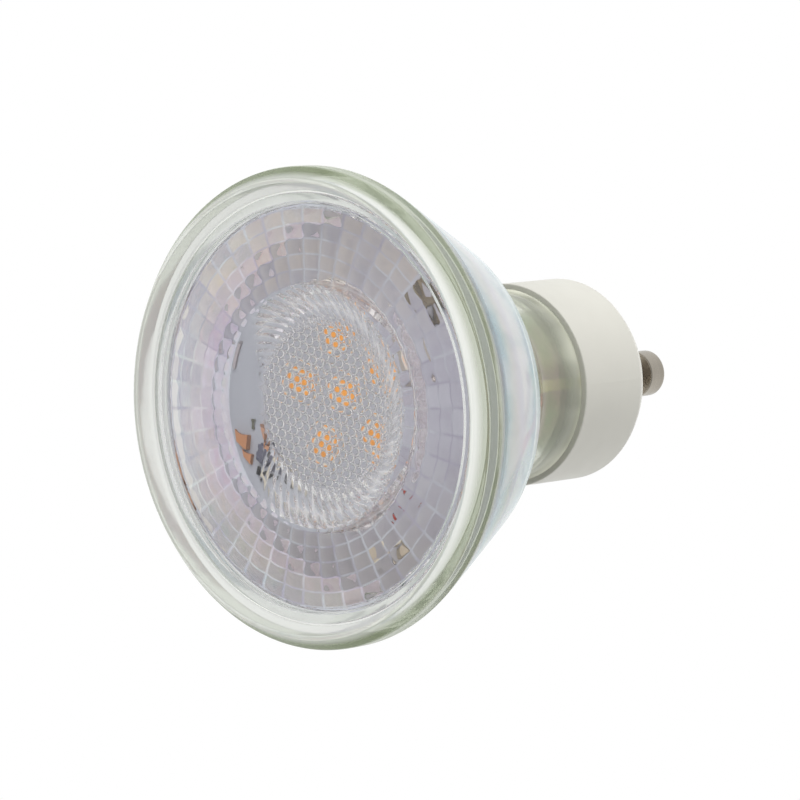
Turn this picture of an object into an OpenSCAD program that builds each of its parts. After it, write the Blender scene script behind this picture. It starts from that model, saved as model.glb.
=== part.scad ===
// Twist-and-lock spotlight bulb with a clear glass reflector body, a moulded front
// lens, a light-emitting board and a white two-pin base.
// Origin: centre of the front rim's face. +Z runs along the bulb's axis to the pins,
// so the bulb stands on its rim as it hangs in a ceiling. X runs through both pins.

/* [Whole bulb] */
// Length from the rim's face to the ends of the pins
overall_len = 51.5; // [50:0.5:56]
// Diameter of the glass rim
rim_d = 50; // [49:0.1:51]

/* [Glass body] */
// Height of the rim's straight band and its rounded edge
rim_h = 3.2; // [2.6:0.1:4]
// Rounding of the rim's front edge
rim_round = 1.3; // [0.5:0.1:1.8]
// Width of the rim's lip outside the lens
lip_w = 2.5; // [2:0.1:3]
// Thickness of the bowl's wall
wall = 1.8; // [1.2:0.1:2.4]
// Radius of the bowl where its straight side ends
bowl_end_r = 17.9; // [17.2:0.1:18.4]
// Height at which the bowl's straight side ends
bowl_end_z = 17.6; // [16.5:0.1:19]
// Radius at the foot of the shoulder behind the bowl
shoulder_r = 13.4; // [12.8:0.1:14]
// Height at the foot of the shoulder behind the bowl
shoulder_z = 20.8; // [20:0.1:22]
// Diameter of the glass neck
neck_d = 20.9; // [20:0.1:21.4]
// Height at which the neck becomes straight
neck_z = 27; // [25.5:0.1:29]
// Diameter of the hollow in the neck
neck_bore_d = 15.2; // [14:0.1:16.4]
// Depth of the neck's stepped end inside the base
spigot_len = 6.7; // [5:0.1:7.5]

/* [Front lens] */
// Distance from the rim's face back to the lens flange
lens_inset = 1.5; // [0.8:0.1:1.7]
// Thickness of the lens flange
flange_t = 1.4; // [1:0.1:1.8]
// Width of the flange that shows round the facets
flange_w = 1.15; // [1.1:0.05:1.6]
// Gap round the lens
lens_gap = 0.15; // [0.1:0.05:0.3]
// Thickness of the faceted ring
ring_t = 1.6; // [1.4:0.1:2]
// Number of facets in each row
facet_count = 44; // [36:2:60]
// Number of facet rows
facet_rows = 5; // [3:1:6]
// Height of each facet above the grooves
facet_h = 0.24; // [0.1:0.02:0.3]
// Radius of the well in the middle of the lens
well_r = 12.5; // [11.5:0.1:13]
// Radius of the well's flat floor
floor_r = 8.5; // [7.5:0.1:9]
// Depth of the well below the facets
well_depth = 1.8; // [1:0.1:2.2]
// Thickness of the lens under the well
plug_t = 3; // [2:0.1:3.4]
// Draft of the side below the well, from upright
plug_draft = 20; // [10:1:45]
// Spacing of the bead lenses on the back
bead_pitch = 1.03; // [0.9:0.01:1.3]
// Height of each bead lens
bead_h = 0.12; // [0.08:0.02:0.3]
// Turn of the bead pattern about the axis
bead_turn = 20; // [0:1:60]

/* [Light board] */
// Distance from the rim's face back to the board
board_z = 10.2; // [10:0.1:11]
// Thickness of the board
board_t = 1; // [0.8:0.1:1.6]
// Diameter of the board
board_d = 38.2; // [36:0.1:38.4]
// Radius of the ring of lights
led_ring_r = 6.2; // [5:0.1:6.6]
// Angle of the first light in the ring
led_first_angle = 191; // [180:1:200]
// Length of one light's case
led_l = 3.5; // [3:0.1:3.8]
// Width of one light's case
led_w = 2.8; // [2.4:0.1:3]
// Height of one light's case
led_h = 0.7; // [0.5:0.05:0.8]
// Wall of one light's case round its phosphor
led_wall = 0.3; // [0.2:0.05:0.4]

/* [Base] */
// Diameter of the base
base_d = 22.04; // [21.9:0.02:23]
// Length of the base's straight side
base_side = 9.4; // [9:0.1:10]
// Length of the base's bevelled end
base_bevel = 1.7; // [1.2:0.1:2.2]
// Thickness of the base's back
base_back_t = 1.6; // [1.2:0.1:2]
// Diameter of the flat face on the back
base_face_d = 19.7; // [18.5:0.1:20.3]
// Gap that the cement fills between neck and base
cement_t = 0.25; // [0.2:0.05:0.4]
// Length of each pin outside the base
pin_len = 7; // [6.8:0.1:7.4]
// Diameter of each pin's head
pin_head_d = 5; // [4.8:0.05:5.1]
// Length of each pin's head
pin_head_len = 2.5; // [2.2:0.1:3]
// Diameter of each pin's shank
pin_shank_d = 3; // [2.8:0.05:3.2]

/* [Supply parts] */
// Width of the upright supply board
supply_w = 12.4; // [11:0.1:12.8]
// Thickness of the supply board
supply_t = 1; // [0.8:0.1:1.2]
// Length of the supply board
supply_len = 12.7; // [11.5:0.1:13.5]
// Diameter of the smoothing capacitor
can_d = 6.3; // [5:0.1:6.3]
// Length of the smoothing capacitor
can_len = 9.9; // [8:0.1:10.2]
// Diameter of the safety resistor
fuse_d = 2.6; // [2.2:0.1:3]
// Length of the safety resistor
fuse_len = 7; // [6:0.1:8]
// Diameter of the wires over their insulation
wire_d = 1.2; // [1:0.1:1.4]

/* [Hidden] */
$fn = 64;
rim_r = rim_d/2;
lip_r = rim_r - lip_w;
seat_z = lens_inset + flange_t;
lens_r = lip_r - lens_gap;
ledge_w = 1.1;
bore_r = lip_r - ledge_w;
ring_r = lens_r - flange_w;
plain_w = 0.5;
facet_edge_r = ring_r - plain_w;
flange_step = 1;
ring_z = lens_inset + flange_step;
ring_crown = 0.3;
ring_back_z = ring_z - ring_crown + ring_t + 0.2;
well_z = ring_z - ring_crown;
floor_z = well_z + well_depth;
plug_z = floor_z + plug_t;
plug_side = plug_z - ring_back_z;
plug_base_r = well_r + 0.2;
plug_r = plug_base_r - plug_side*tan(plug_draft);
board_back_z = board_z + board_t;
pocket_r = board_d/2 + 0.25;
board_lap = 1.1;
board_seat_r = board_d/2 - board_lap;
bowl_start_z = rim_h + 0.8;
bowl_start_r = rim_r - 0.35;
base_back_z = overall_len - pin_len;
base_r = base_d/2;
base_front_z = base_back_z - base_bevel - base_side;
neck_end_z = base_front_z - 0.2;
neck_r = neck_d/2;
base_wall = 1.17;
base_bore_r = base_r - base_wall;
spigot_r = base_bore_r - cement_t;
spigot_end_z = neck_end_z + spigot_len;
neck_bore_r = neck_bore_d/2;
base_floor_z = base_back_z - base_back_t;
pin_spacing = 10;
pin_x = pin_spacing/2;
rivet_h = 0.8;
rivet_z = base_floor_z - rivet_h;
pin_wire_len = 1.6;
supply_end_z = rivet_z - pin_wire_len;
supply_z = supply_end_z - supply_len;
led_ring_count = 5;
led_group_y = -1.2;
led_z = board_z - led_h;
cup_h = 0.45;
cup_round = 0.4;
wire_r = wire_d/2;
link_x = 3.4;
link_y = led_group_y + led_ring_r + 5.6;
link_side_x = 4.9;
core_r = 0.35;
lead_hole_r = core_r + 0.15;

leg_w = 0.45;
leg_in = 0.2;
leg_out = 0.45;

// Sizes of the small parts: length, width, height, and metal cap or number of legs
rectifier_size = [1.9, 1.2, 0.9, 2];
driver_size = [2.9, 1.6, 1.1, 3];
film_size = [2.8, 1.45, 1.2, 0.35];
small_film_size = [1.8, 1, 0.8, 0.3];
ceramic_size = [2, 1.25, 0.9, 0.35];
resistor_size = [1.6, 0.8, 0.45, 0.25];
small_resistor_size = [1, 0.5, 0.35, 0.25];

// Places of the small parts on the board: x, y and turn
rectifier_at = [-11.8, 5, 122];
driver_at = [10.6, -10.4, 40];
film_1_at = [-15.2, 3.6, 10];
film_2_at = [-14.4, 5.25, 15];
film_3_at = [-16.2, -5.2, 108];
ceramic_1_at = [-9.85, 7.15, 35];
ceramic_2_at = [3.2, 15.2, 168];
resistor_1_at = [-12.1, 6.75, 20];
resistor_2_at = [-13, 2, 95];
resistor_3_at = [13.6, -7.2, 62];

function unit(v) = v/norm(v);

// Points that round the corner b of the path a-b-c
function corner(a, b, c, r, n = 6) =
    let (u = unit(a - b), w = unit(c - b), half = acos(u*w)/2,
         o = b + unit(u + w)*r/sin(half),
         s = b + u*r/tan(half) - o, e = b + w*r/tan(half) - o, turn = 180 - 2*half)
    [for (i = [0:n]) o + (sin((1 - i/n)*turn)*s + sin(i/n*turn)*e)/sin(turn)];

// A closed outline from points [x, y, rounding]
function outline(p) = let (n = len(p), xy = function (q) [q[0], q[1]])
    [for (i = [0:n - 1])
        for (q = p[i][2] > 0
            ? corner(xy(p[(i + n - 1) % n]), xy(p[i]), xy(p[(i + 1) % n]), p[i][2])
            : [xy(p[i])]) q];

module turned(p) rotate_extrude($fn = 96) polygon(outline(p));

// Bowl, shoulder and neck are one pressed piece of glass. Inside are the seat of the
// lens, the seat of the board and the hollow of the neck.
module glass_reflector() color([0.86, 0.9, 0.92, 0.4])
    turned([
        [lip_r, 0, 0.4],
        [rim_r, 0, rim_round],
        [rim_r, rim_h, 0.5],
        [bowl_start_r, bowl_start_z, 0],
        [bowl_end_r, bowl_end_z, 2],
        [shoulder_r, shoulder_z, 3],
        [neck_r, neck_z, 4],
        [neck_r, neck_end_z, 0.3],
        [spigot_r, neck_end_z, 0],
        [spigot_r, spigot_end_z, 0.4],
        [neck_bore_r, spigot_end_z, 0.4],
        [neck_bore_r, neck_z - 0.6, 3],
        [shoulder_r - wall - 0.6, shoulder_z + 1, 2],
        [bowl_end_r - wall, bowl_end_z - wall/2, 2],
        [board_seat_r, board_back_z + 1, 0],
        [board_seat_r, board_back_z, 0],
        [pocket_r, board_back_z, 0],
        [pocket_r, board_z, 0],
        [bore_r, ring_back_z + 0.6, 1],
        [bore_r, seat_z, 0],
        [lip_r, seat_z, 0],
    ]);

// The lens without its facets and beads
module lens_body() turned([
        [0, floor_z, 0],
        [floor_r, floor_z, 0.3],
        [well_r, well_z, 0.2],
        [facet_edge_r + 0.1, ring_z, 0],
        [ring_r, ring_z, 0.2],
        [ring_r, lens_inset, 0.2],
        [lens_r, lens_inset, 0.3],
        [lens_r, seat_z, 0],
        [bore_r - lens_gap, seat_z, 0],
        [bore_r - lens_gap, ring_back_z, 0.3],
        [plug_base_r, ring_back_z, 0.4],
        [plug_r, plug_z, 0.2],
        [0, plug_z, 0],
    ]);

// One facet is a raised cushion between two valleys. Its top leans outward or
// inward by turns, and that breaks up the view of the bowl.
facet_in_r = well_r + 0.3;
row_w = (facet_edge_r - facet_in_r)/facet_rows;
groove = 0.24;
lean = 0.05;
ring_steps = 3*facet_rows;
turn_steps = 3*facet_count;
function cut(i, n) = floor(i/3) + (i % 3 == 0 ? 0 : i % 3 == 1 ? groove : 1 - groove);
function ring_level(r) = ring_z - ring_crown*(facet_edge_r - r)/(facet_edge_r - well_r);
function facet_top(i, j) = i % 3 == 0 || j % 3 == 0 ? 0.03
    : facet_h + lean*(i % 3 == 1 ? 1 : -1)*(floor(i/3) % 2 == 0 ? 1 : -1)
        + lean*(j % 3 == 1 ? 1 : -1)*(floor(j/3) % 2 == 0 ? 1 : -1);
module facets() {
    front = [for (i = [0:ring_steps]) for (j = [0:turn_steps - 1])
        let (r = facet_in_r + row_w*cut(i), a = cut(j)*360/facet_count)
        [r*cos(a), r*sin(a), ring_level(r) - facet_top(i, j)]];
    back = [for (r = [facet_in_r, facet_edge_r]) for (j = [0:turn_steps - 1])
        let (a = cut(j)*360/facet_count) [r*cos(a), r*sin(a), ring_z + 0.4]];
    n = turn_steps;
    b = len(front);
    last = ring_steps*n;
    faces = [for (j = [0:n - 1]) let (k = (j + 1) % n) each [
        for (i = [0:ring_steps - 1]) each [
            [i*n + j, i*n + k, (i + 1)*n + k],
            [i*n + j, (i + 1)*n + k, (i + 1)*n + j]],
        [b + j, b + k, k], [b + j, k, j],
        [last + j, last + k, b + n + k], [last + j, b + n + k, b + n + j],
        [b + n + j, b + n + k, b + k], [b + n + j, b + k, b + j]]];
    polyhedron(concat(front, back), [for (f = faces) [f[0], f[2], f[1]]]);
}

// Bead lenses in a honeycomb. Corners lie on a grid of whole steps, so cells share them.
bead_reach = plug_r - 1.5*bead_pitch;
step_x = bead_pitch/2;
step_y = bead_pitch/(2*sqrt(3));
bead_span = ceil(bead_reach/bead_pitch) + 2;
hex_steps = [[1, 1], [0, 2], [-1, 1], [-1, -1], [0, -2], [1, -1]];
next_cell = [[1, 3], [-1, 3], [-2, 0], [-1, -3], [1, -3], [2, 0]];
function on_grid(g, z, s = 1, c = [0, 0]) =
    [step_x*(c[0] + s*(g[0] - c[0])), step_y*(c[1] + s*(g[1] - c[1])), z];
function has_bead(g) = norm([step_x*g[0], step_y*g[1]]) < bead_reach;
module beads() {
    cells = [for (j = [-bead_span:bead_span]) for (i = [-2*bead_span:2*bead_span])
        let (g = [2*i + abs(j) % 2, 3*j]) if (has_bead(g)) g];
    sunk = -0.3;
    rise = 0.03;
    tops = [for (g = cells) each concat(
        [for (s = hex_steps) on_grid(g + s, rise)],
        [for (s = hex_steps) on_grid(g + s, rise + 0.72*bead_h, 0.55, g)],
        [on_grid(g, rise + bead_h)])];
    top_faces = [for (c = [0:len(cells) - 1]) let (o = 13*c) for (k = [0:5]) let (m = (k + 1) % 6)
        each [[o + k, o + 6 + k, o + m], [o + m, o + 6 + k, o + 6 + m], [o + 6 + k, o + 12, o + 6 + m]]];
    edges = [for (g = cells) for (k = [0:5])
        if (!has_bead(g + next_cell[k])) [g + hex_steps[k], g + hex_steps[(k + 1) % 6]]];
    b = len(tops);
    sides = [for (e = edges) each [on_grid(e[0], rise), on_grid(e[1], rise),
        on_grid(e[1], sunk), on_grid(e[0], sunk)]];
    side_faces = [for (q = [0:len(edges) - 1]) let (o = b + 4*q)
        each [[o, o + 1, o + 2], [o, o + 2, o + 3], [o + 3, o + 2, b + len(sides)]]];
    rotate(bead_turn) translate([0, 0, plug_z])
        polyhedron(concat(tops, sides, [[0, 0, sunk]]), concat(top_faces, side_faces));
}

module front_lens() color([0.9, 0.92, 0.96, 0.35]) union() {
    lens_body();
    facets();
    beads();
}

// Clear bead of bond between the lens flange and the glass lip
module lens_bond() color([0.93, 0.93, 0.88])
    turned([
        [lens_r, lens_inset + 0.35, 0],
        [lip_r - 0.02, lens_inset + 0.35, 0],
        [lip_r - 0.02, lens_inset + 0.75, 0],
        [lens_r, lens_inset + 0.75, 0],
    ]);

// Round metal-cored board, white in front, with two holes for the link wires
module led_board() color("whitesmoke") difference() {
    translate([0, 0, board_z]) cylinder(r = board_d/2, h = board_t);
    for (x = [-1, 1]) translate([x*link_x, link_y, board_z - 1])
        cylinder(r = lead_hole_r, h = board_t + 2, $fn = 24);
}

// Bead of white bond that fixes the board's back edge to the bowl
module board_bond() color("white")
    turned([
        [board_seat_r - 1.5, board_back_z, 0],
        [board_seat_r, board_back_z, 0],
        [board_seat_r, board_back_z + 0.8, 0],
        [board_seat_r - 0.4, board_back_z + 0.8, 0],
    ]);

function led_place(i) = i == 1 ? [0, led_group_y]
    : let (a = led_first_angle + (i - 2)*360/led_ring_count)
        [led_ring_r*cos(a), led_group_y + led_ring_r*sin(a)];
function led_angle(i) = i == 1 ? 0 : led_first_angle + (i - 2)*360/led_ring_count;

module at_led(i) translate([led_place(i)[0], led_place(i)[1], led_z]) rotate(led_angle(i)) children();

module led_window() translate([0, 0, -1])
    linear_extrude(cup_h + 1) offset(r = cup_round, $fn = 16)
        square([led_l - 2*(led_wall + cup_round), led_w - 2*(led_wall + cup_round)], center = true);

// White case of one light, with its cup for the phosphor
module led_case(i) color("ivory") at_led(i) difference() {
    translate([-led_l/2, -led_w/2, 0]) cube([led_l, led_w, led_h]);
    led_window();
    translate([-led_l/2 - 1, led_w/2 - 0.45, -1]) cube([1.45, 1, 1.5]);
}

// Yellow phosphor fill of one light
module phosphor(i) color([0.93, 0.62, 0.2]) at_led(i) intersection() {
    led_window();
    translate([-led_l/2, -led_w/2, 0.04]) cube([led_l, led_w, 1]);
}

module on_board(place)
    translate([place[0], place[1], board_z]) rotate(place[2]) mirror([0, 0, 1]) children();

// A moulded chip with legs at two sides, on the board's front
module chip(place, size) on_board(place) {
    l = size[0];
    w = size[1];
    h = size[2];
    legs = size[3];
    translate([0, 0, 0.1 + h/2]) intersection() {
        cube([l, w, h], center = true);
        rotate([0, 45, 0]) cube([(l + h)/sqrt(2) - 0.3, w, (l + h)/sqrt(2) - 0.3], center = true);
    }
    for (s = [-1, 1]) for (k = [0:legs - 1]) translate([0, s*w/2, 0])
        translate([(k - (legs - 1)/2)*l/legs - leg_w/2, s > 0 ? -leg_in : -leg_out, 0])
            cube([leg_w, leg_in + leg_out, 0.2]);
}

// A block capacitor or resistor with a metal cap at each end
module block(place, size) on_board(place) {
    l = size[0];
    w = size[1];
    h = size[2];
    cap = size[3];
    translate([-l/2 + 0.05, -w/2 + 0.05, 0.03]) cube([l - 0.1, w - 0.1, h - 0.06]);
    for (s = [-1, 1]) translate([s*(l/2 - cap/2) - cap/2, -w/2, 0]) cube([cap, w, h]);
}

module rectifier() color([0.2, 0.2, 0.23]) chip(rectifier_at, rectifier_size);
module driver_chip() color([0.22, 0.21, 0.25]) chip(driver_at, driver_size);
module film_capacitor_1() color([0.78, 0.42, 0.2]) block(film_1_at, film_size);
module film_capacitor_2() color([0.78, 0.47, 0.24]) block(film_2_at, small_film_size);
module film_capacitor_3() color([0.62, 0.45, 0.3]) block(film_3_at, film_size);
module ceramic_capacitor_1() color([0.8, 0.76, 0.68]) block(ceramic_1_at, ceramic_size);
module ceramic_capacitor_2() color([0.8, 0.76, 0.68]) block(ceramic_2_at, ceramic_size);
module chip_resistor_1() color([0.15, 0.15, 0.15]) block(resistor_1_at, resistor_size);
module chip_resistor_2() color([0.3, 0.3, 0.22]) block(resistor_2_at, small_resistor_size);
module chip_resistor_3() color([0.15, 0.15, 0.15]) block(resistor_3_at, resistor_size);

// Upright board in the neck that carries the supply parts
module supply_board() color([0.62, 0.6, 0.3])
    translate([-supply_w/2, -supply_t/2, supply_z]) difference() {
        cube([supply_w, supply_t, supply_len]);
        for (x = [-1, 1]) translate([supply_w/2 + x*pin_x, -1, supply_len - 1.6])
            rotate([-90, 0, 0]) cylinder(r = lead_hole_r, h = supply_t + 2, $fn = 24);
    }

// Round can with a rolled rim, lying along the supply board
module smoothing_capacitor() color([0.25, 0.26, 0.3])
    translate([-0.6, supply_t/2 + can_d/2 + 0.05, supply_z + 1]) {
        turned([[0, 0, 0], [can_d/2 - 0.1, 0, 0.4], [can_d/2, 1.4, 0.2], [can_d/2 - 0.35, 1.8, 0.2],
            [can_d/2, 2.2, 0.2], [can_d/2, can_len, 0.4], [0, can_len, 0]]);
        for (s = [-1, 1]) translate([s*1.2, 0, can_len - 0.2]) {
            cylinder(r = core_r, h = 1.2, $fn = 24);
            translate([0, 0, 1.2]) sphere(r = core_r, $fn = 24);
            translate([0, 0, 1.2]) rotate([90, 0, 0]) cylinder(r = core_r, h = can_d/2 + 0.04, $fn = 24);
        }
    }

// Ceramic body with domed ends and a lead at each end, lying along the supply board
module safety_resistor() color([0.55, 0.58, 0.42])
    translate([3.4, -supply_t/2 - fuse_d/2 - 0.05, supply_z + 3]) {
        turned([[0, 0, 0], [fuse_d/2, 0, 0.5], [fuse_d/2, 1.6, 0.2], [fuse_d/2 - 0.2, 2, 0.2],
            [fuse_d/2 - 0.2, fuse_len - 2, 0.2], [fuse_d/2, fuse_len - 1.6, 0.2],
            [fuse_d/2, fuse_len, 0.5], [0, fuse_len, 0]]);
        for (end = [0, 1]) mirror([0, 0, end]) translate([0, 0, end*-fuse_len]) {
            translate([0, 0, -1]) cylinder(r = core_r, h = 1.2, $fn = 24);
            translate([0, 0, -1]) sphere(r = core_r, $fn = 24);
            translate([0, 0, -1]) rotate([-90, 0, 0]) cylinder(r = core_r, h = fuse_d/2 + 0.04, $fn = 24);
        }
    }

// Drum-core coil that stands off the supply board
module choke() color([0.3, 0.28, 0.27])
    translate([-2.6, -supply_t/2 - 0.05, supply_z + 6]) rotate([90, 0, 0])
        turned([[0, 0, 0], [2.4, 0, 0.2], [2.4, 0.8, 0.2], [1.9, 0.8, 0], [1.9, 3, 0],
            [2.4, 3, 0.2], [2.4, 3.8, 0.2], [0, 3.8, 0]]);

// A round wire swept through rings [x, y, z, radius] that lie near one upright plane
module wire(rings, sides = 8) {
    n = len(rings);
    function place(i) = [rings[i][0], rings[i][1], rings[i][2]];
    points = [for (i = [0:n - 1])
        let (t = unit(unit(place(min(i + 1, n - 1)) - place(max(i - 1, 0))) + [0, 0, 1e-6]),
             u = unit(cross(t, [1, 0, 0])), v = cross(t, u))
        for (k = [0:sides - 1])
            place(i) + rings[i][3]*(cos(k*360/sides)*u + sin(k*360/sides)*v)];
    faces = concat(
        [[for (k = [0:sides - 1]) k]],
        [for (i = [0:n - 2]) for (k = [0:sides - 1]) let (m = (k + 1) % sides)
            each [[i*sides + k, (i + 1)*sides + k, i*sides + m],
                [i*sides + m, (i + 1)*sides + k, (i + 1)*sides + m]]],
        [[for (k = [sides - 1:-1:0]) (n - 1)*sides + k]]);
    polyhedron(points, faces);
}

// Insulated wire from the supply board to the light board, with a bare end in its hole
module link_wire(s) color(s < 0 ? "white" : [0.75, 0.2, 0.15]) {
    x = s*link_x;
    y = link_y;
    side = s*link_side_x;
    wire([
        [x, y, board_z, core_r], [x, y, board_back_z + 0.1, core_r],
        [x, y, board_back_z + 0.14, wire_r], [x, y, board_back_z + 1.6, wire_r],
        [x + s*0.2, y - 0.8, board_back_z + 4, wire_r], [side, 5, shoulder_z - 2.6, wire_r],
        [side, 3.4, supply_z - 3, wire_r],
        [side, supply_t/2 + wire_r + 0.25, supply_z - 0.8, wire_r],
        [side, supply_t/2 + wire_r + 0.05, supply_z + 0.8, wire_r]]);
}

// Bare wire from a pin's rivet to the supply board
module pin_wire(s) color("silver") translate([s*pin_x, 0, supply_end_z])
    cylinder(r = lead_hole_r, h = pin_wire_len, $fn = 24);

// Thin sleeve of cement between the stepped neck and the base
module neck_cement() color([0.8, 0.79, 0.74])
    turned([
        [spigot_r, base_front_z + 0.6, 0],
        [base_bore_r, base_front_z + 0.6, 0],
        [base_bore_r, spigot_end_z - 0.6, 0],
        [spigot_r, spigot_end_z - 0.6, 0],
    ]);

// White base: a cup with a bevelled back and a bore for each pin
module base_cap() color([0.93, 0.92, 0.89]) difference() {
    turned([
        [0, base_floor_z, 0],
        [min(base_face_d/2, base_bore_r) - 0.3, base_floor_z, 0.3],
        [base_bore_r, spigot_end_z + 0.7, 0.6],
        [base_bore_r, base_front_z, 0],
        [base_r, base_front_z, 0.15],
        [base_r, base_front_z + base_side, 0.9],
        [base_face_d/2, base_back_z, 0.4],
        [0, base_back_z, 0],
    ]);
    for (s = [-1, 1]) translate([s*pin_x, 0, base_floor_z - 1])
        cylinder(r = pin_shank_d/2 + 0.03, h = base_back_t + 2);
}

// Plated pin: a head outside, a shank through the base and a rivet head inside
module pin(s) color([0.72, 0.69, 0.64]) translate([s*pin_x, 0, 0])
    turned([
        [0, rivet_z, 0],
        [pin_shank_d/2 + 0.6, rivet_z, 0.3],
        [pin_shank_d/2 + 0.6, base_floor_z, 0],
        [pin_shank_d/2, base_floor_z, 0],
        [pin_shank_d/2, overall_len - pin_head_len, 0],
        [pin_head_d/2, overall_len - pin_head_len, 0.15],
        [pin_head_d/2, overall_len, 0.45],
        [0, overall_len, 0],
    ]);

glass_reflector();
front_lens();
lens_bond();
led_board();
board_bond();
led_case(1);  // led_1
led_case(2);  // led_2
led_case(3);  // led_3
led_case(4);  // led_4
led_case(5);  // led_5
led_case(6);  // led_6
phosphor(1);  // phosphor_1
phosphor(2);  // phosphor_2
phosphor(3);  // phosphor_3
phosphor(4);  // phosphor_4
phosphor(5);  // phosphor_5
phosphor(6);  // phosphor_6
rectifier();
driver_chip();
film_capacitor_1();
film_capacitor_2();
film_capacitor_3();
ceramic_capacitor_1();
ceramic_capacitor_2();
chip_resistor_1();
chip_resistor_2();
chip_resistor_3();
supply_board();
smoothing_capacitor();
safety_resistor();
choke();
link_wire(1);  // link_wire_1
link_wire(-1);  // link_wire_2
pin_wire(1);  // pin_wire_1
pin_wire(-1);  // pin_wire_2
neck_cement();
base_cap();
pin(1);  // pin_1
pin(-1);  // pin_2
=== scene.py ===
"""Looks of a clear glass spotlight bulb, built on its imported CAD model.

The bulb stands face-down on its rim with its pins up, in metres. The glass body and the
front lens are rebuilt here as smooth clear meshes. All other nodes stay as packed and get
materials."""

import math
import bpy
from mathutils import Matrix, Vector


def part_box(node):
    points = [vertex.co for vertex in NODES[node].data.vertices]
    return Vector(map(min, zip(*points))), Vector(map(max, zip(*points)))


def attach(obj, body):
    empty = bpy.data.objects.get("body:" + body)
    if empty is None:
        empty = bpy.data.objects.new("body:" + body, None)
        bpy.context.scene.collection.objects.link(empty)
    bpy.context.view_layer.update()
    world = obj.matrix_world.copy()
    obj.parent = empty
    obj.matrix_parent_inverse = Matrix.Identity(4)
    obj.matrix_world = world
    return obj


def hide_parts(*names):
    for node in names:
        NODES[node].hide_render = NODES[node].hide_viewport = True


bl_info = {
    "name": "Glass spotlight bulb",
    "version": (1, 0, 0),
    "blender": (4, 5, 0),
    "location": "View3D > Sidebar > Bulb",
    "description": "Builds the glass, the lens, the finishes and the studio of a spotlight bulb",
    "category": "Object",
}

import bpy
import numpy as np
from bpy.props import FloatProperty, FloatVectorProperty, IntProperty, PointerProperty
from mathutils import Matrix, Vector
from mathutils.geometry import delaunay_2d_cdt

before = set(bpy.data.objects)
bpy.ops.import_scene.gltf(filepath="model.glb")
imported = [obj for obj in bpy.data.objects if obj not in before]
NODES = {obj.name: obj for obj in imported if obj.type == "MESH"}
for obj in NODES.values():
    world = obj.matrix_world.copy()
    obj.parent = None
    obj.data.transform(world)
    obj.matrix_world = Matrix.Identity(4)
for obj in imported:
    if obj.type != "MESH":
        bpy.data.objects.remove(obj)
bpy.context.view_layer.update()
MM = 0.001
RIM_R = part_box("glass_reflector")[1].x
GLASS_END_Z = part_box("glass_reflector")[1].z
BASE_FRONT_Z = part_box("base_cap")[0].z
LIGHTS = range(1, 7)
GLASS_IOR, PLASTIC_IOR = 1.5, 1.49
CLEAR_PLASTIC = (0.93, 0.93, 0.94)
BEAD_TURN = math.radians(20)
PLUG_DRAFT = math.radians(20)


def length(name, description, millimetres):
    """A length property, shown in the unit of the scene."""
    return FloatProperty(name=name, description=description, default=millimetres * MM,
                         subtype="DISTANCE", unit="LENGTH", precision=5)


def colour(name, description, rgb):
    """A colour property, as linear red, green and blue."""
    return FloatVectorProperty(name=name, description=description, default=rgb, size=3,
                               subtype="COLOR", min=0, max=1)


class BulbSizes(bpy.types.PropertyGroup):
    """Sizes of the glass and of the lens"""

    wall: length("Bowl wall", "Thickness of the bowl's glass", 1.8)
    lens_inset: length("Lens inset", "Distance from the rim's face to the lens flange", 1.5)
    lip_slope: length("Lip slope", "How far the rim's inner side widens towards its front edge", 0.9)
    well_r: length("Well radius", "Radius of the well in the middle of the lens", 12.5)
    floor_r: length("Floor radius", "Radius of the well's flat floor", 8.5)
    bead_pitch: length("Bead pitch", "Spacing of the bead lenses on the back", 1.03)
    bead_r: length("Bead radius", "Radius of the ball that each bead is cut from", 0.522)
    facet_h: length("Facet height", "Height of each facet above its grooves", 0.26)
    facet_lean: length("Facet lean", "Rise or fall of a facet from one side to the other", 0.06)
    facet_count: IntProperty(name="Facets", description="Number of facets in each row",
                             default=44, min=24, max=72)
    facet_rows: IntProperty(name="Facet rows", description="Number of facet rows", default=5,
                            min=3, max=6)


class BulbColours(bpy.types.PropertyGroup):
    """Colours of the glass, the board, the lights, the base and the pins"""

    glass: colour("Glass", "Tint of the light that the glass lets through", (0.93, 0.95, 0.92))
    lens: colour("Lens", "Tint of the light that the lens lets through", (0.96, 0.96, 0.98))
    film: colour("Film", "Thin film on the inside of the bowl", (0.5, 0.48, 0.56))
    # Grey-blue on a white mask: painted shade
    board: colour("Board", "Front of the light board", (0.43, 0.44, 0.465))
    phosphor: colour("Phosphor", "Fill of each light", (0.9, 0.36, 0.045))
    case: colour("Light case", "Case of each light", (0.78, 0.72, 0.6))
    base: colour("Base", "Moulded two-pin base", (0.66, 0.648, 0.59))
    pin: colour("Pin", "Plating of the pins", (0.42, 0.38, 0.33))


class BulbStage(bpy.types.PropertyGroup):
    """Studio light and camera"""

    ambient: FloatProperty(name="Ambient", description="Strength of the world on matt surfaces",
                           default=0.55, min=0, max=2)
    key: FloatProperty(name="Key power", description="Power of the main lamp in watts",
                       default=1.05, min=0, max=100, unit="POWER")
    fill: FloatProperty(name="Fill power", description="Power of each soft lamp in watts",
                        default=0.7, min=0, max=100, unit="POWER")
    focal: FloatProperty(name="Focal length", description="Camera lens in millimetres",
                         default=197.55, min=20, max=400)


def sizes():
    return bpy.context.scene.bulb_sizes


def colours():
    return bpy.context.scene.bulb_colours


# Shapes


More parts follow.
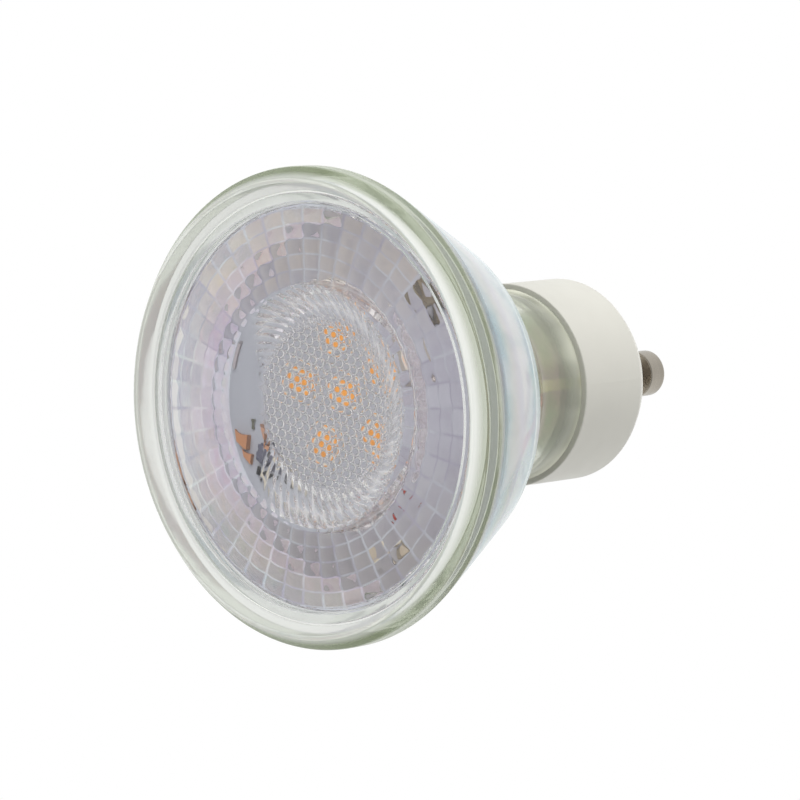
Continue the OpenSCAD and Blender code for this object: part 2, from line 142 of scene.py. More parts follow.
def corner(a, b, c, r, n=6):
    """Points that round the corner b of the path a-b-c."""
    a, b, c = (np.array(p, float) for p in (a, b, c))
    u, w = (a - b) / np.linalg.norm(a - b), (c - b) / np.linalg.norm(c - b)
    half = math.acos(max(-1.0, min(1.0, float(u @ w)))) / 2
    o = b + (u + w) / np.linalg.norm(u + w) * r / math.sin(half)
    s, e = b + u * r / math.tan(half) - o, b + w * r / math.tan(half) - o
    turn = math.pi - 2 * half
    return [o + (math.sin((1 - i / n) * turn) * s + math.sin(i / n * turn) * e) / math.sin(turn)
            for i in range(n + 1)]


def outline(points):
    """A closed outline in metres from points (radius, height, rounding) in millimetres."""
    n, made = len(points), []
    for i, (x, y, r) in enumerate(points):
        if r > 0:
            before, after = points[i - 1], points[(i + 1) % n]
            made += [tuple(p) for p in corner(before[:2], (x, y), after[:2], r)]
        else:
            made.append((x, y))
    return [(x * MM, y * MM) for x, y in made]


def mesh_object(name, verts, faces, body="root"):
    """A new mesh object that rides on the bulb."""
    mesh = bpy.data.meshes.new(name)
    mesh.from_pydata(verts, [], faces)
    mesh.validate()
    made = bpy.data.objects.new(name, mesh)
    bpy.context.scene.collection.objects.link(made)
    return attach(made, body)


def smooth(made, angle=32):
    """Shades a mesh smooth, except at edges sharper than the angle in degrees."""
    made.data.shade_smooth()
    made.data.set_sharp_from_angle(angle=math.radians(angle))


def lathe(name, profile, segments):
    """A closed profile of (radius, height) turned round the axis."""
    n = len(profile)
    turn = [2 * math.pi * k / segments for k in range(segments)]
    verts = [(r * math.cos(a), r * math.sin(a), z) for r, z in profile for a in turn]
    faces = []
    for i in range(n):
        j = (i + 1) % n
        for k in range(segments):
            m = (k + 1) % segments
            faces.append((i * segments + k, i * segments + m, j * segments + m, j * segments + k))
    return mesh_object(name, verts, faces)


def stacked_rings(name, rings, segments, end_points):
    """A solid from rings of heights: each ring is (radius, heights at the segments). The
    first ring closes on the axis, and the last one is filled in with the end points."""
    angles = np.arange(segments) * 2 * math.pi / segments
    cos, sin = np.cos(angles), np.sin(angles)
    verts = [(0.0, 0.0, float(np.mean(rings[0][1])))]
    for r, z in rings:
        z = np.broadcast_to(np.asarray(z, float), (segments,))
        verts += list(zip((r * cos).tolist(), (r * sin).tolist(), z.tolist()))
    last = len(verts) - segments
    loop = verts[last:]
    verts += end_points
    faces = []
    for k in range(segments):
        faces.append((0, 1 + (k + 1) % segments, 1 + k))
    for i in range(len(rings) - 1):
        a, b = 1 + i * segments, 1 + (i + 1) * segments
        for k in range(segments):
            m = (k + 1) % segments
            faces.append((a + k, a + m, b + m, b + k))
    flat = [Vector(p[:2]) / MM for p in loop + end_points]
    edges = [(k, (k + 1) % segments) for k in range(segments)]
    inside_only, tolerance = 1, 1e-6
    _, _, triangles, origins, _, _ = delaunay_2d_cdt(flat, edges, [], inside_only, tolerance)
    source = [ids[0] for ids in origins]
    faces += [tuple(last + source[v] for v in face) for face in triangles]
    return mesh_object(name, verts, faces)


def bead_foot(pitch):
    """Radius of a bead's foot, with a thin valley left between neighbours."""
    return 0.98 * pitch / 2


def bead_height(ball_r, foot, r):
    """Height of a ball-shaped bead above its foot, at a distance from its middle."""
    return math.sqrt(ball_r ** 2 - r * r) - math.sqrt(ball_r ** 2 - foot ** 2)


def bead_points(pitch, ball_r, reach, turn, base_z):
    """Points on ball-shaped beads in a honeycomb, with the flat corners between them."""
    foot, corner_r, row = bead_foot(pitch), pitch / math.sqrt(3), pitch * math.sqrt(3) / 2
    # Circles of points on each bead: share of the foot's radius, number of points
    circles = [(0, 1), (0.24, 12), (0.47, 12), (0.68, 24), (0.86, 24), (1, 24)]
    span, points = int(reach / row) + 1, []
    cos, sin = math.cos(turn), math.sin(turn)
    for j in range(-span, span + 1):
        for i in range(-span, span + 1):
            x, y = (i + j % 2 / 2) * pitch, j * row
            if math.hypot(x, y) > reach:
                continue
            cell = []
            for share_of_foot, count in circles:
                r = share_of_foot * foot
                z = bead_height(ball_r, foot, r)
                for k in range(count):
                    a = 2 * math.pi * (k + 0.5) / count
                    cell.append((x + r * math.cos(a), y + r * math.sin(a), z))
            for k in (0, 1):
                a = math.pi / 2 + k * math.pi / 3
                cell.append((x + corner_r * math.cos(a), y + corner_r * math.sin(a), 0.0))
            points += [(x * cos - y * sin, x * sin + y * cos, base_z + z) for x, y, z in cell]
    return points


# Materials


def rgba(value):
    """A colour with its alpha. A socket stays as it is."""
    return value if isinstance(value, bpy.types.NodeSocket) else (*value, 1)


def add_node(tree, kind, inputs=None, **settings):
    """A new node with its settings. Each input is a value or a socket to link from."""
    made = tree.nodes.new(kind)
    for key, value in settings.items():
        setattr(made, key, value)
    for key, value in (inputs or {}).items():
        if isinstance(value, bpy.types.NodeSocket):
            tree.links.new(value, made.inputs[key])
        else:
            made.inputs[key].default_value = value
    return made


class Material:
    """A short way to write a node material."""

    def __init__(self, name):
        self.made = bpy.data.materials.new(name)
        self.made.use_nodes = True
        self.tree = self.made.node_tree
        self.tree.nodes.clear()
        self.out = self.node("ShaderNodeOutputMaterial")
        self.place = self.node("ShaderNodeTexCoord").outputs["Object"]

    def node(self, kind, inputs=None, **settings):
        return add_node(self.tree, kind, inputs, **settings)

    def noise(self, scale, detail=3.0, roughness=0.5, place=None):
        return self.node("ShaderNodeTexNoise", {"Vector": place or self.place, "Scale": scale,
                                                "Detail": detail, "Roughness": roughness}).outputs["Fac"]

    def ramp(self, value, low, high, start=0.0, end=1.0):
        """Maps a value from low..high to start..end."""
        return self.node("ShaderNodeMapRange", {"Value": value, "From Min": low, "From Max": high,
                                                "To Min": start, "To Max": end}).outputs["Result"]

    def blend(self, factor, first, second):
        """A mix of two colours or colour sockets."""
        return self.node("ShaderNodeMix", {0: factor, 6: rgba(first), 7: rgba(second)},
                         data_type="RGBA").outputs[2]

    def maths(self, operation, a, b=0.0):
        return self.node("ShaderNodeMath", {0: a, 1: b}, operation=operation).outputs[0]

    def times(self, a, b):
        return self.maths("MULTIPLY", a, b)

    def axis(self, name):
        """Distance from the bulb's origin along X, Y or Z."""
        return self.node("ShaderNodeSeparateXYZ", {0: self.place}).outputs[name]

    def radius(self):
        """Distance from the bulb's axis."""
        flat = self.node("ShaderNodeVectorMath", {0: self.place, 1: (1, 1, 0)}, operation="MULTIPLY")
        return self.node("ShaderNodeVectorMath", {0: flat.outputs[0]}, operation="LENGTH").outputs["Value"]

    def turn(self):
        """Angle round the bulb's axis."""
        return self.maths("ARCTAN2", self.axis("Y"), self.axis("X"))

    def outside(self):
        """1 where a surface is met from outside the solid, 0 where it is met from within."""
        return self.maths("SUBTRACT", 1.0, self.node("ShaderNodeNewGeometry").outputs["Backfacing"])

    def bump(self, height, strength, distance):
        return self.node("ShaderNodeBump", {"Height": height, "Strength": strength,
                                            "Distance": distance}).outputs["Normal"]

    def principled(self, **inputs):
        names = {key.replace("_", " "): value for key, value in inputs.items()}
        for key, value in names.items():
            if isinstance(value, tuple) and len(value) == 3:
                names[key] = (*value, 1)
        return self.node("ShaderNodeBsdfPrincipled", names).outputs[0]

    def clear(self, ior, rough, rgb, **inputs):
        """Clear glass or plastic."""
        return self.principled(Base_Color=rgb, Transmission_Weight=1.0, IOR=ior, Roughness=rough, **inputs)

    def matt(self, tone, kind="Diffuse"):
        """A matt surface, or with kind Translucent one that light comes through softly."""
        return self.node("ShaderNodeBsdf" + kind, {"Color": rgba(tone)}).outputs[0]

    def haze(self, tone):
        """Light scattered half back and half through."""
        return self.mix(0.5, self.matt(tone, "Translucent"), self.matt(tone))

    def mix(self, factor, first, second):
        return self.node("ShaderNodeMixShader", {0: factor, 1: first, 2: second}).outputs[0]

    def lets_lamps_in(self, surface, tint):
        """The surface, except that lamps and soft light pass straight through it."""
        path = self.node("ShaderNodeLightPath").outputs
        passes = self.maths("MAXIMUM", path["Is Shadow Ray"], path["Is Diffuse Ray"])
        return self.mix(passes, surface, self.matt(tint, "Transparent"))

    def finish(self, surface, volume=None):
        self.tree.links.new(surface, self.out.inputs["Surface"])
        if volume is not None:
            self.tree.links.new(volume, self.out.inputs["Volume"])
        return self.made


def shaded(rgb, factor):
    return tuple(min(1.0, c * factor) for c in rgb)


def moulded(name, rgb, rough=0.45, grain=900.0, relief=0.2, spread=0.06):
    """Matt or satin moulded finish with a fine grain and slight clouding."""
    m = Material(name)
    cloud, fine = m.noise(grain * 0.12, 4), m.noise(grain, 2)
    tone = m.blend(m.ramp(cloud, 0.35, 0.65), shaded(rgb, 1 - spread), shaded(rgb, 1 + spread))
    return m.finish(m.principled(Base_Color=tone, Normal=m.bump(fine, relief, 0.05 * MM),
                                 Roughness=m.ramp(fine, 0.3, 0.7, rough - 0.06, rough + 0.06)))


def metal(name, rgb, rough=0.25, grain=600.0):
    """Plated metal with fine turning marks and a slightly uneven tone."""
    m = Material(name)
    stretch = m.node("ShaderNodeMapping", {"Vector": m.place, "Scale": (1, 1, 12)}).outputs[0]
    marks, cloud = m.noise(grain, 3, place=stretch), m.noise(grain * 0.3, 3)
    tone = m.blend(m.ramp(cloud, 0.3, 0.7), shaded(rgb, 0.85), shaded(rgb, 1.12))
    return m.finish(m.principled(Base_Color=tone, Metallic=1.0, Normal=m.bump(marks, 0.15, 0.03 * MM),
                                 Roughness=m.ramp(marks, 0.3, 0.7, rough * 0.7, rough * 1.4)))


def clear_glass():
    """Pressed glass, greener where the path through it is long. Its outside has painted
    reflections: pale on the rim's face, olive on the rim's edge, and a thin uneven coat of blue
    and white patches behind the rim. At the neck's end this coat is thicker, as painted light
    over the shade beside the base."""
    # Painted reflections on the rim's face and edge
    rim_face_painted_reflection, rim_edge_painted_reflection = (0.84, 0.85, 0.82), (0.31, 0.35, 0.23)
    # Painted reflections behind the rim and in the neck
    blue_painted_reflection, white_painted_reflection, neck_painted_reflection = (0.66, 0.86, 0.95), (0.88, 0.9, 0.94), (0.76, 0.77, 0.65)
    m = Material("pressed_glass_painted_reflections")
    height = m.axis("Z")
    waves = m.bump(m.noise(170, 2, 0.4), 0.2, 0.4 * MM)
    surface = m.clear(GLASS_IOR, 0.05, (0.86, 0.86, 0.85), Normal=waves)

    # Painted reflections behind the rim: blue and white patches drawn out along the axis and pale
    # olive in the neck. The coat is stronger at the neck's end, as painted light over the shade beside the
    # base.
    in_neck = m.ramp(height, 21.5 * MM, 23.5 * MM)
    stretched = m.node("ShaderNodeMapping", {"Vector": m.place, "Scale": (1, 1, 0.35)}).outputs[0]
    patches = m.noise(150, 2, 0.5, place=stretched)
    tone = m.blend(m.ramp(patches, 0.42, 0.6), blue_painted_reflection, white_painted_reflection)
    on_bowl = m.ramp(height, 4.5 * MM, 5.5 * MM, 0.0, 0.3)
    # Painted light: a thicker pale coat at the neck's end over the shade beside the base
    neck_end_painted_light = m.ramp(height, 30.5 * MM, 33 * MM, 0.0, 0.5)
    share_of_painted_reflection = m.maths("SUBTRACT", m.maths("ADD", on_bowl, neck_end_painted_light), m.times(in_neck, 0.05))
    share_of_painted_reflection = m.times(share_of_painted_reflection, m.ramp(patches, 0.35, 0.65, 0.6, 1.35))
    painted_reflection = m.matt(m.blend(in_neck, tone, neck_painted_reflection))
    surface = m.mix(m.times(share_of_painted_reflection, m.outside()), surface, painted_reflection)

    # Rim: painted reflections, pale on its face and olive on its edge
    edge = m.ramp(m.radius(), 24 * MM, 24.5 * MM)
    on_rim = m.times(m.ramp(height, 3.2 * MM, 4.2 * MM, 1.0, 0.0), m.ramp(edge, 0.0, 1.0, 0.45, 0.42))
    rim = m.matt(m.blend(edge, rim_face_painted_reflection, rim_edge_painted_reflection))
    surface = m.mix(m.times(on_rim, m.outside()), surface, rim)
    green = m.node("ShaderNodeVolumeAbsorption", {"Color": (0.6, 0.68, 0.42, 1), "Density": 30.0}).outputs[0]
    return m.finish(m.lets_lamps_in(surface, tuple(colours().glass)), green)


def coated_glass():
    """Inside of the bowl: a thin hazy film with faint interference colours. In the neck the
    film is clearer and the haze is thicker."""
    neck_tone, bowl_haze, neck_haze = (0.84, 0.86, 0.76), (0.8, 0.82, 0.9), (0.88, 0.9, 0.78)
    film = tuple(colours().film)
    m = Material("coated_glass")
    height = m.axis("Z")
    patches = m.noise(170, 3, 0.6)
    in_neck = m.ramp(height, 19.5 * MM, 22.5 * MM)
    tone = m.blend(m.ramp(patches, 0.35, 0.65), shaded(film, 0.85), shaded(film, 1.15))
    tone = m.blend(in_neck, tone, neck_tone)

    # Thickness of the film in nanometres: it grows with height, and a little unevenly
    thickness = m.maths("ADD", m.ramp(height, 4 * MM, 20 * MM, 250.0, 620.0),
                        m.ramp(patches, 0.3, 0.7, -30.0, 30.0))
    glass = m.clear(GLASS_IOR, 0.08, tone, Thin_Film_Thickness=thickness, Thin_Film_IOR=1.9,
                    Normal=m.bump(m.noise(170, 2, 0.4), 0.3, 0.4 * MM))
    haze = m.haze(m.blend(in_neck, bowl_haze, neck_haze))
    hazy = m.mix(m.ramp(height, 20 * MM, 29 * MM, 0.12, 0.3), glass, haze)
    return m.finish(m.lets_lamps_in(hazy, m.blend(in_neck, film, (0.92, 0.93, 0.86))))


def moulded_lens():
    """Clear moulded plastic with a faint cool tint."""
    m = Material("moulded_lens")
    surface = m.clear(PLASTIC_IOR, 0.05, CLEAR_PLASTIC, Normal=m.bump(m.noise(260, 2, 0.4), 0.12, 0.2 * MM))
    return m.finish(m.lets_lamps_in(surface, tuple(colours().lens)))


def facet_plastic_painted_reflections(first_r, row_w):
    """The lens plastic on the facets, with painted reflections: each facet has its own faint tint
    for what it shows of the bowl and the board. The grooves between them have painted shade
    in places and painted highlights in others."""
    m = Material("facet_plastic_painted_reflections")
    column = m.times(m.turn(), sizes().facet_count / (2 * math.pi))
    row = m.maths("DIVIDE", m.maths("SUBTRACT", m.radius(), first_r), row_w)
    cell = {0: m.maths("FLOOR", column), 1: m.maths("FLOOR", row)}
    cell = m.node("ShaderNodeCombineXYZ", cell).outputs[0]
    chance = m.node("ShaderNodeTexWhiteNoise", {"Vector": cell}, noise_dimensions="2D").outputs["Value"]
    edge = m.maths("MAXIMUM", *[m.maths("ABSOLUTE", m.maths("SUBTRACT", m.maths("FRACT", way), 0.5))
                                for way in (column, row)])

    # Painted reflections of the bowl's film and the board's parts: lilac tints, peach on one side
    # of the lens and brown on the other
    peach_reflection_side = m.ramp(m.axis("Y"), -14 * MM, -6 * MM, 1.0, 0.0)
    brown_reflection_side = m.ramp(m.axis("Y"), 3 * MM, 15 * MM)
    pale = m.blend(brown_reflection_side, m.blend(peach_reflection_side, (0.99, 0.94, 0.98), (1.0, 0.8, 0.6)), (0.6, 0.52, 0.44))
    dull = m.blend(brown_reflection_side, m.blend(peach_reflection_side, (0.64, 0.56, 0.66), (0.6, 0.56, 0.6)), (0.44, 0.38, 0.37))
    paleness = m.maths("ADD", m.times(chance, 0.6), m.ramp(m.noise(420, 3, 0.6), 0.3, 0.7, 0.0, 0.4))
    # Grooves: painted shade in lilac grey in places and painted highlights in white in others
    groove = m.blend(m.ramp(m.noise(230, 2), 0.4, 0.6), (0.6, 0.53, 0.64), (1.0, 1.0, 1.0))
    tone = m.blend(m.ramp(edge, 0.4, 0.49), m.blend(paleness, dull, pale), groove)
    return m.finish(m.lets_lamps_in(m.clear(PLASTIC_IOR, 0.04, tone), tuple(colours().lens)))


def cone_plastic():
    """The lens plastic on the well's cone: long slanting streaks, except on its clear side."""
    # Streaks in one turn, streaks that each metre of radius slants past, and cells per metre
    streaks_round, slant, per_metre = 56, 620.0, 330.0
    m = Material("cone_plastic")
    radius = m.radius()
    across = m.maths("ADD", m.times(m.turn(), streaks_round / (2 * math.pi)), m.times(radius, slant))
    cell = m.node("ShaderNodeCombineXYZ", {0: across, 1: m.times(radius, per_metre)}).outputs[0]
    near = m.node("ShaderNodeTexVoronoi", {"Vector": cell, "Scale": 1.0, "Randomness": 0.25},
                  voronoi_dimensions="2D").outputs["Distance"]
    streaked = m.ramp(m.axis("X"), -8.5 * MM, -6 * MM)
    surface = m.clear(PLASTIC_IOR, 0.06, CLEAR_PLASTIC, Normal=m.bump(m.times(near, streaked), 1.0, 1.2 * MM))
    between = m.times(m.ramp(near, 0.42, 0.62, 0.06, 0.42), streaked)
    surface = m.mix(between, surface, m.matt((0.74, 0.73, 0.73)))
    return m.finish(m.lets_lamps_in(surface, tuple(colours().lens)))


def bead_plastic(valley_z):
    """The lens plastic of the beads: faintly smoky, and slightly frosted below the height at
    which the valleys between the beads begin."""
    m = Material("bead_plastic")
    surface = m.clear(PLASTIC_IOR, 0.06, (0.8, 0.75, 0.755))
    between = m.ramp(m.axis("Z"), valley_z - 0.01 * MM, valley_z + 0.01 * MM, 1.0, 0.0)
    frost = m.times(between, m.ramp(m.noise(2600, 2), 0.3, 0.7, 0.18, 0.35))
    return m.finish(m.lets_lamps_in(m.mix(frost, surface, m.haze((0.76, 0.74, 0.74))), tuple(colours().lens)))


def give(material, *names):
    """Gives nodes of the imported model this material."""
    for name in names:
        mesh = NODES[name].data
        mesh.materials.clear()
        mesh.materials.append(material)


# Pieces


class BULB_OT_glass_body(bpy.types.Operator):
    """Turns the smooth glass bowl, shoulder and neck"""

    bl_idname = "bulb.glass_body"
    bl_label = "Glass body"

    def execute(self, context):
        # Radii from the axis and heights from the rim's face, in millimetres
        s = sizes()
        rim_r, wall, inset = RIM_R / MM, s.wall / MM, s.lens_inset / MM
        lip_r, bore_r = rim_r - 2.5, rim_r - 3.6
        mouth_r, rim_face_w, rim_edge_z, band_z = lip_r + s.lip_slope / MM, 0.4, 1.4, 3.2
        bowl_r, bowl_z, shoulder_r, shoulder_z = 17.9, 17.6, 13.4, 20.8
        neck_r, neck_z, neck_end = 10.45, 27, BASE_FRONT_Z / MM - 0.05
        spigot_r, spigot_end, hollow_r, hollow_z = 9.58, GLASS_END_Z / MM, 7.6, 26.4
        lens_seat_z, film_z, board_z, board_back_z = inset + 1.4, 4.7, 10.2, 11.2
        board_r, board_lip_r, clearance = 19.35, 18.02, 0.03
        profile = outline([
            (mouth_r, 0, 0.2), (mouth_r + rim_face_w, 0, 0.3), (rim_r, rim_edge_z, 0.7), (rim_r, band_z, 0.5),
            (rim_r - 0.35, band_z + 0.8, 0), (bowl_r, bowl_z, 2), (shoulder_r, shoulder_z, 3),
            (neck_r, neck_z, 4), (neck_r, neck_end, 0.12), (spigot_r, neck_end, 0),
            (spigot_r, spigot_end, 0.4), (hollow_r, spigot_end, 0.4), (hollow_r, hollow_z, 3),
            (shoulder_r - wall - 0.6, shoulder_z + 1, 2), (bowl_r - wall, bowl_z - wall / 2, 2),
            (board_lip_r, board_back_z + 1, 0), (board_lip_r, board_back_z + clearance, 0),
            (board_r, board_back_z + clearance, 0), (board_r, board_z, 0), (bore_r, film_z - 0.1, 1),
            (bore_r, lens_seat_z, 0), (lip_r, lens_seat_z, 0), (lip_r, inset, 0.3),
        ])
        segments, coated_slot = 256, 1
        made = lathe("clear_bowl", profile, segments)
        smooth(made)
        made.data.materials.append(clear_glass())
        made.data.materials.append(coated_glass())
        for face in made.data.polygons:
            outward = Vector((face.center.x, face.center.y, 0))
            faces_in = face.normal.dot(outward) < 0
            if faces_in and outward.length < bore_r * MM and face.center.z > film_z * MM:
                face.material_index = coated_slot
        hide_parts("glass_reflector")
        return {"FINISHED"}


class BULB_OT_front_lens(bpy.types.Operator):
    """Moulds the front lens: flange, facets, well, cone and bead lenses"""

    bl_idname = "bulb.front_lens"
    bl_label = "Front lens"

    def execute(self, context):
        s = sizes()
        turns = 10 * s.facet_count
        angle = np.arange(turns) * 2 * math.pi / turns

        # Heights from the rim's face: the flange, the facets, the well's floor and the plug's back
        inset = s.lens_inset
        ring_z, crown, groove = inset + 1 * MM, 0.3 * MM, 0.03 * MM
        well_z = ring_z - crown
        floor_z = well_z + 1.8 * MM
        plug_z = floor_z + 3 * MM
        seat_z, ring_back = inset + 1.36 * MM, 4.0 * MM

        # Radii from the axis
        lens_r, ring_r, bore_r = 22.33 * MM, 21.2 * MM, 21.25 * MM
        edge_r, first_r = 20.7 * MM, s.well_r + 0.3 * MM
        plug_side = plug_z - ring_back
        plug_in = plug_side * math.tan(PLUG_DRAFT)
        plug_base_r = s.well_r + 0.2 * MM
        plug_r, fillet = plug_base_r - plug_in, 1.2 * MM
        bead_reach = plug_r - 1.3 * MM

        rings = [(r * MM, floor_z) for r in (2, 4, 6, 7.4)]
        rings += [(s.floor_r - 0.3 * MM, floor_z), (s.floor_r, floor_z - 0.04 * MM)]
        for t in (0.1, 0.3, 0.5, 0.7, 0.9, 0.97):
            rings.append((s.floor_r + t * (s.well_r - s.floor_r), floor_z + t * (well_z - floor_z)))
        rings.append((s.well_r, well_z))

        # Facets: cushions that lean in or out, and left or right, by turns, with flat grooves
        row_w = (edge_r - first_r) / s.facet_rows
        column = angle / (2 * math.pi) * s.facet_count
        across = 2 * (column % 1) - 1
        side = np.where(np.floor(column) % 2 == 0, 1, -1)
        steps = (0, 0.06, 0.18, 0.34, 0.5, 0.66, 0.82, 0.94)
        for i in range(s.facet_rows):
            lean_in = 1 if i % 2 == 0 else -1
            for t in steps + (1,) * (i == s.facet_rows - 1):
                r, along = first_r + row_w * (i + t), 2 * t - 1
                level = ring_z - crown * (edge_r - r) / (edge_r - s.well_r)
                u, v = np.minimum(1, np.abs(across) / 0.85), min(1, abs(along) / 0.88)
                dome = s.facet_h * (1 - 0.67 * u * u - 0.33 * v * v)
                lean = s.facet_lean * 0.5 * (lean_in * along + side * across) * (1 - u * u) * (1 - v * v)
                rings.append((r, level - groove - dome - lean))

        # Step to the flange, the flange's edge, the back of the faceted ring and the plug's side
        rings += [(edge_r + 0.1 * MM, ring_z), (ring_r - 0.15 * MM, ring_z), (ring_r, ring_z - 0.12 * MM),
                  (ring_r, inset + 0.15 * MM), (ring_r + 0.1 * MM, inset), (lens_r - 0.3 * MM, inset),
                  (lens_r - 0.08 * MM, inset + 0.08 * MM), (lens_r, inset + 0.3 * MM), (lens_r, seat_z),
                  (bore_r, seat_z), (bore_r, ring_back - 0.2 * MM), (bore_r - 0.2 * MM, ring_back),
                  (plug_base_r + fillet, ring_back)]
        for a in map(math.radians, (20, 40, 60, 75)):
            rings.append((plug_base_r + fillet - 1.25 * MM * math.sin(a),
                          ring_back + 1.1 * MM * (1 - math.cos(a))))
        for t in (0.5, 0.75, 0.97):
            rings.append((plug_r + (1 - t) * plug_in, ring_back + t * plug_side))
        rings.append((plug_r, plug_z))

        beads = bead_points(s.bead_pitch, s.bead_r, bead_reach, BEAD_TURN, plug_z)
        made = stacked_rings("clear_lens", rings, turns, beads)
        smooth(made, 24)
        foot = bead_foot(s.bead_pitch)
        valley_z = plug_z + bead_height(s.bead_r, foot, 0.88 * foot)
        facet_slot, bead_slot, cone_slot = 1, 2, 3
        for material in (moulded_lens(), facet_plastic_painted_reflections(first_r, row_w), bead_plastic(valley_z),
                         cone_plastic()):
            made.data.materials.append(material)
        for face in made.data.polygons:
            r = math.hypot(face.center.x, face.center.y)
            if first_r < r < edge_r and face.normal.z < 0:
                face.material_index = facet_slot
            elif r < bead_reach + foot and face.center.z > plug_z - 0.01 * MM:
                face.material_index = bead_slot
            elif s.floor_r < r < s.well_r and face.center.z < floor_z:
                face.material_index = cone_slot
        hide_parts("front_lens")
        return {"FINISHED"}


class BULB_OT_lights(bpy.types.Operator):
    """Finishes the light board, its six lights and its small parts"""

    bl_idname = "bulb.lights"
    bl_label = "Light board"

    def execute(self, context):
        c = colours()
        # The board's white mask is coloured grey-blue: painted shade
        give(moulded("board_mask", tuple(c.board), 0.35, 500, 0.1, 0.04), "led_board")
        give(moulded("white_bond", (0.8, 0.8, 0.78), 0.5), "board_bond", "lens_bond")
        give(moulded("light_case", tuple(c.case), 0.4, 1500), *[f"led_{i}" for i in LIGHTS])
        give(moulded("phosphor_fill", tuple(c.phosphor), 0.5, 3000, 0.2, 0.15),
             *[f"phosphor_{i}" for i in LIGHTS])
        give(moulded("dark_moulding", (0.13, 0.13, 0.165), 0.4), "rectifier")
        give(moulded("brown_moulding", (0.2, 0.17, 0.11), 0.4), "driver_chip")
        give(moulded("film_body", (0.5, 0.24, 0.12), 0.4), "film_capacitor_1", "film_capacitor_2")
        give(moulded("film_body_dull", (0.42, 0.38, 0.38), 0.4), "film_capacitor_3")
        give(moulded("ceramic_body", (0.6, 0.54, 0.42), 0.4), "ceramic_capacitor_1", "ceramic_capacitor_2")
        give(moulded("resistor_body", (0.03, 0.03, 0.03), 0.35), "chip_resistor_1", "chip_resistor_3")
        give(moulded("olive_body", (0.14, 0.14, 0.1), 0.35), "chip_resistor_2")
        return {"FINISHED"}


class BULB_OT_supply(bpy.types.Operator):
    """Finishes the supply board, its parts and the wires in the neck"""

    bl_idname = "bulb.supply"
    bl_label = "Supply parts"

    def execute(self, context):
        give(moulded("supply_laminate", (0.42, 0.4, 0.1), 0.4), "supply_board")
        give(moulded("can_sleeve", (0.42, 0.42, 0.46), 0.3), "smoothing_capacitor")
        give(moulded("resistor_ceramic", (0.3, 0.33, 0.16), 0.4), "safety_resistor")
        give(moulded("choke_core", (0.07, 0.06, 0.06), 0.5), "choke")
        give(moulded("red_insulation", (0.5, 0.05, 0.03), 0.4), "link_wire_1")
        give(moulded("white_insulation", (0.75, 0.75, 0.73), 0.4), "link_wire_2")
        give(metal("tinned_wire", (0.6, 0.6, 0.58), 0.3), "pin_wire_1", "pin_wire_2")
        return {"FINISHED"}


class BULB_OT_base(bpy.types.Operator):
    """Finishes the base, its cement and its pins"""

    bl_idname = "bulb.base"
    bl_label = "Base and pins"

    def execute(self, context):
        c = colours()
        give(moulded("base_moulding", tuple(c.base), 0.42, 700, 0.1, 0.03), "base_cap")
        give(moulded("neck_cement", (0.6, 0.58, 0.5), 0.8, 1500, 0.5), "neck_cement")
        give(metal("pin_plating", tuple(c.pin), 0.28), "pin_1", "pin_2")
        return {"FINISHED"}


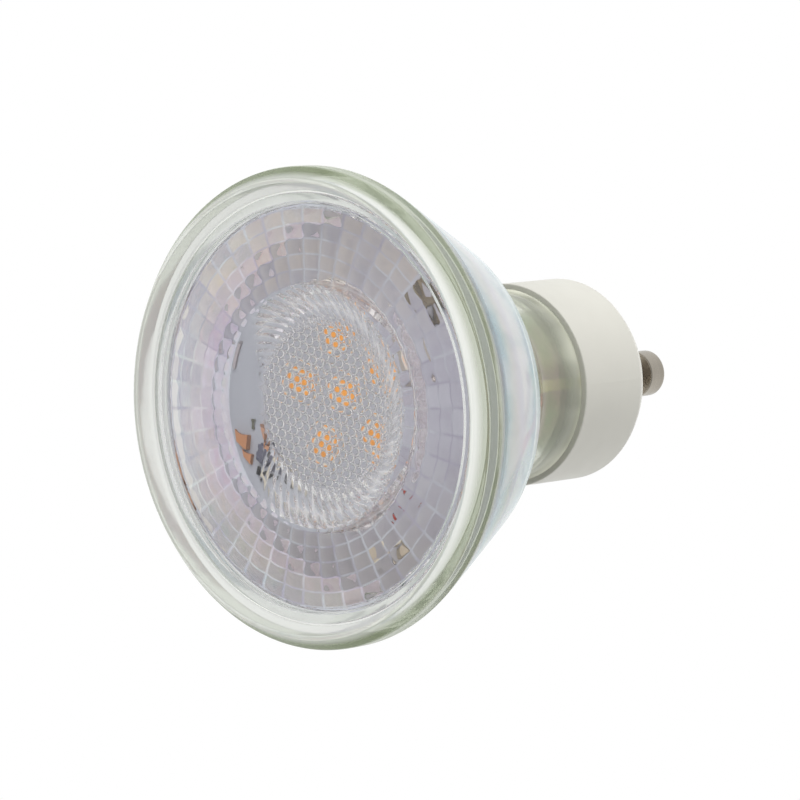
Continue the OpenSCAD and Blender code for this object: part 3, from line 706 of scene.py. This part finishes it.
class BULB_OT_stage(bpy.types.Operator):
    """Sets up the floor, the world, the soft lamps and the camera"""

    bl_idname = "bulb.stage"
    bl_label = "Stage"

    def execute(self, context):
        scene = context.scene
        st = scene.bulb_stage
        scene.view_settings.view_transform = "Standard"
        scene.cycles.max_bounces = scene.cycles.transmission_bounces = 32
        scene.cycles.glossy_bounces, scene.cycles.transparent_max_bounces = 16, 32

        # Floor: pale from above, open from beneath and to every bounced ray, fading out to white
        half, drop, fade_start, fade_end = 1.2, 0.2 * MM, 0.06, 0.3
        corners = [(-half, -half, 0), (half, -half, 0), (half, half, 0), (-half, half, 0)]
        floor = bpy.data.meshes.new("floor")
        floor.from_pydata(corners, [], [(0, 1, 2, 3)])
        floor = bpy.data.objects.new("floor", floor)
        floor.location.z = -drop
        scene.collection.objects.link(floor)
        m = Material("pale_floor")
        seen = m.times(m.node("ShaderNodeLightPath").outputs["Is Camera Ray"], m.outside())
        distance = m.node("ShaderNodeVectorMath", {0: m.place}, operation="LENGTH").outputs["Value"]
        seen = m.times(seen, m.ramp(distance, fade_start, fade_end, 1.0, 0.0))
        tone = m.blend(m.ramp(m.noise(30, 3), 0.3, 0.7), (0.86, 0.86, 0.86), (0.9, 0.9, 0.9))
        pale = m.principled(Base_Color=tone, Roughness=0.8)
        open_side = m.node("ShaderNodeBsdfTransparent").outputs[0]
        floor.data.materials.append(m.finish(m.mix(seen, open_side, pale)))

        # World: white behind everything, shaded towards the camera's side for glass and metal
        world = bpy.data.worlds.new("studio")
        scene.world = world
        world.use_nodes = True
        tree = world.node_tree
        tree.nodes.clear()

        def node(kind, inputs, **settings):
            return add_node(tree, kind, inputs, **settings).outputs

        def background(rgb, strength):
            return node("ShaderNodeBackground", {"Color": (*rgb, 1), "Strength": strength})[0]

        away_from_camera, darkest = (-0.668, 0.059, 0.742), 0.38
        white, greenish = (1, 1, 1), (0.985, 1.0, 0.985)
        way = node("ShaderNodeTexCoord", {})["Generated"]
        behind = node("ShaderNodeVectorMath", {0: way, 1: away_from_camera}, operation="DOT_PRODUCT")["Value"]
        level = node("ShaderNodeMapRange", {"Value": behind, "From Min": -0.75, "From Max": 0.35,
                                            "To Min": darkest, "To Max": 1.0})["Result"]
        path = node("ShaderNodeLightPath", {})
        rays = {0: path["Is Glossy Ray"], 1: path["Is Transmission Ray"]}
        shiny = node("ShaderNodeMath", rays, operation="MAXIMUM")[0]
        bounced = node("ShaderNodeMixShader", {0: shiny, 1: background(white, st.ambient),
                                               2: background(greenish, level)})[0]
        sky = node("ShaderNodeMixShader", {0: path["Is Camera Ray"], 1: bounced,
                                           2: background(white, 1.0)})[0]
        node("ShaderNodeOutputWorld", {"Surface": sky})

        # Soft lamps, all turned to the bulb's middle: name, place, diameter, power
        middle = Vector((0, 0, 27 * MM))
        for name, place, size, power in (
            ("key_lamp", (0.16, -0.34, 0.2), 0.3, st.key),
            ("high_lamp", (-0.1, 0.1, 0.4), 0.35, st.fill),
            ("side_lamp", (0.3, 0.25, 0.1), 0.3, st.fill * 0.25),
            ("low_lamp", (0.05, -0.1, -0.35), 0.35, st.fill * 1.5),
        ):
            lamp = bpy.data.lights.new(name, "AREA")
            lamp.shape, lamp.size, lamp.energy = "DISK", size, power
            lamp = bpy.data.objects.new(name, lamp)
            lamp.location = place
            lamp.rotation_mode = "QUATERNION"
            lamp.rotation_quaternion = (middle - Vector(place)).to_track_quat("-Z", "Y")
            lamp.visible_camera = lamp.visible_transmission = lamp.visible_glossy = False
            scene.collection.objects.link(lamp)

        # Camera at the photograph's place, below the bulb's face and to its right
        camera = bpy.data.cameras.new("camera")
        camera.sensor_width, camera.lens = 36, st.focal
        camera.clip_start, camera.clip_end = 0.01, 10
        camera = bpy.data.objects.new("camera", camera)
        right, up, back = (0.74427, 0.05261, 0.66581), (0, -0.99690, 0.07877), (0.66788, -0.05863, -0.74196)
        place, turned = Vector((0.30890, -0.02690, -0.32733)), Matrix((right, up, back)).transposed()
        camera.matrix_world = Matrix.Translation(place) @ turned.to_4x4()
        scene.collection.objects.link(camera)
        scene.camera = camera
        return {"FINISHED"}


class BULB_PT_panel(bpy.types.Panel):
    """Lists the bulb's operators"""

    bl_idname = "BULB_PT_panel"
    bl_label = "Spotlight bulb"
    bl_space_type = "VIEW_3D"
    bl_region_type = "UI"
    bl_category = "Bulb"

    def draw(self, context):
        for operator in OPERATORS:
            self.layout.operator(operator.bl_idname)


OPERATORS = (BULB_OT_glass_body, BULB_OT_front_lens, BULB_OT_lights, BULB_OT_supply, BULB_OT_base,
             BULB_OT_stage)
GROUPS = {"bulb_sizes": BulbSizes, "bulb_colours": BulbColours, "bulb_stage": BulbStage}
CLASSES = (*GROUPS.values(), *OPERATORS, BULB_PT_panel)


def register():
    for made in CLASSES:
        bpy.utils.register_class(made)
    for name, group in GROUPS.items():
        setattr(bpy.types.Scene, name, PointerProperty(type=group))


def unregister():
    for name in GROUPS:
        delattr(bpy.types.Scene, name)
    for made in reversed(CLASSES):
        bpy.utils.unregister_class(made)


def main():
    register()
    for operator in OPERATORS:
        group, name = operator.bl_idname.split(".")
        getattr(getattr(bpy.ops, group), name)()


if __name__ == "__main__":
    main()
